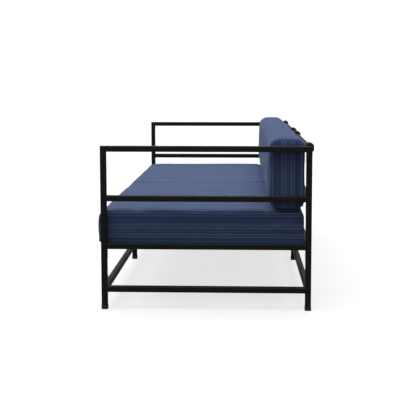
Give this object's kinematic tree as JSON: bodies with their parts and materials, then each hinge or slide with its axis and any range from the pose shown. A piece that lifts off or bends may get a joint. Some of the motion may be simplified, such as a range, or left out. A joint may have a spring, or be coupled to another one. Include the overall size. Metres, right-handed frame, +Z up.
{
  "type": "outdoor daybed sofa",
  "caption": "Long low square-tube daybed sofa on legs, with open tube arms and back, boxed seat cushions and standing back cushions strapped to the top rail.",
  "frame": {"origin": "on the floor, below the middle of the sofa's overall box", "axes": "+X along the length towards the sitter's left, +Y towards the back, +Z up; the sitter faces -Y"},
  "size_m": [1.832, 0.88, 0.711],
  "materials": {
    "frame_coat": "satin",
    "foot_cap": "matte",
    "bolt": "satin",
    "insert_nut": "satin",
    "cushion_fabric": "matte",
    "foam": "matte",
    "zip_tape": "matte",
    "zip_metal": "satin",
    "webbing": "matte"
  },
  "bodies": {
    "frame": {"left_front_leg": "frame_coat", "left_rear_leg": "frame_coat", "left_arm_top_rail": "frame_coat", "left_arm_lower_rail": "frame_coat", "left_seat_end_rail": "frame_coat", "left_foot_rail": "frame_coat", "right_front_leg": "frame_coat", "right_rear_leg": "frame_coat", "right_arm_top_rail": "frame_coat", "right_arm_lower_rail": "frame_coat", "right_seat_end_rail": "frame_coat", "right_foot_rail": "frame_coat", "front_seat_rail": "frame_coat", "rear_seat_rail": "frame_coat", "back_lower_rail": "frame_coat", "back_top_rail": "frame_coat", "back_post_lower": "frame_coat", "back_post_upper": "frame_coat", "middle_front_leg": "frame_coat", "middle_rear_leg": "frame_coat", "middle_seat_rail": "frame_coat", "middle_foot_rail": "frame_coat", "front_stretcher_left": "frame_coat", "front_stretcher_right": "frame_coat", "rear_stretcher_left": "frame_coat", "rear_stretcher_right": "frame_coat", "seat_slats_left": "frame_coat", "seat_slats_right": "frame_coat", "rail_end_plates": "frame_coat", "middle_plates": "frame_coat", "left_front_foot": "foot_cap", "left_rear_foot": "foot_cap", "right_front_foot": "foot_cap", "right_rear_foot": "foot_cap", "middle_front_foot": "foot_cap", "middle_rear_foot": "foot_cap", "frame_bolts": "bolt", "middle_bolts": "bolt", "insert_nuts": "insert_nut", "strap_outer_left": "webbing", "strap_inner_left": "webbing", "strap_inner_right": "webbing", "strap_outer_right": "webbing"},
    "seat_cushion_left": {"seat_cover_left": "cushion_fabric", "seat_foam_left": "foam", "seat_zip_left": "zip_tape"},
    "seat_slider_left": {"seat_zip_slider_left": "zip_metal"},
    "seat_cushion_right": {"seat_cover_right": "cushion_fabric", "seat_foam_right": "foam", "seat_zip_right": "zip_tape"},
    "seat_slider_right": {"seat_zip_slider_right": "zip_metal"},
    "back_cushion_left": {"back_cover_left": "cushion_fabric", "back_foam_left": "foam", "back_zip_left": "zip_tape"},
    "back_slider_left": {"back_zip_slider_left": "zip_metal"},
    "back_cushion_right": {"back_cover_right": "cushion_fabric", "back_foam_right": "foam", "back_zip_right": "zip_tape"},
    "back_slider_right": {"back_zip_slider_right": "zip_metal"}
  },
  "joints": [
    {"name": "seat_pull_out_left", "type": "slide", "parent": "frame", "child": "seat_cushion_left", "axis": [0, -1, 0], "range_m": [0, 0.9]},
    {"name": "seat_zip_left", "type": "slide", "parent": "seat_cushion_left", "child": "seat_slider_left", "axis": [-1, 0, 0], "range_m": [0, 0.7]},
    {"name": "seat_pull_out_right", "type": "slide", "parent": "frame", "child": "seat_cushion_right", "axis": [0, -1, 0], "range_m": [0, 0.9]},
    {"name": "seat_zip_right", "type": "slide", "parent": "seat_cushion_right", "child": "seat_slider_right", "axis": [1, 0, 0], "range_m": [0, 0.7]},
    {"name": "back_lift_off_left", "type": "slide", "parent": "frame", "child": "back_cushion_left", "axis": [0, 0, 1], "range_m": [0, 0.32]},
    {"name": "back_zip_left", "type": "slide", "parent": "back_cushion_left", "child": "back_slider_left", "axis": [-1, 0, 0], "range_m": [0, 0.7]},
    {"name": "back_lift_off_right", "type": "slide", "parent": "frame", "child": "back_cushion_right", "axis": [0, 0, 1], "range_m": [0, 0.32]},
    {"name": "back_zip_right", "type": "slide", "parent": "back_cushion_right", "child": "back_slider_right", "axis": [1, 0, 0], "range_m": [0, 0.7]}
  ]
}
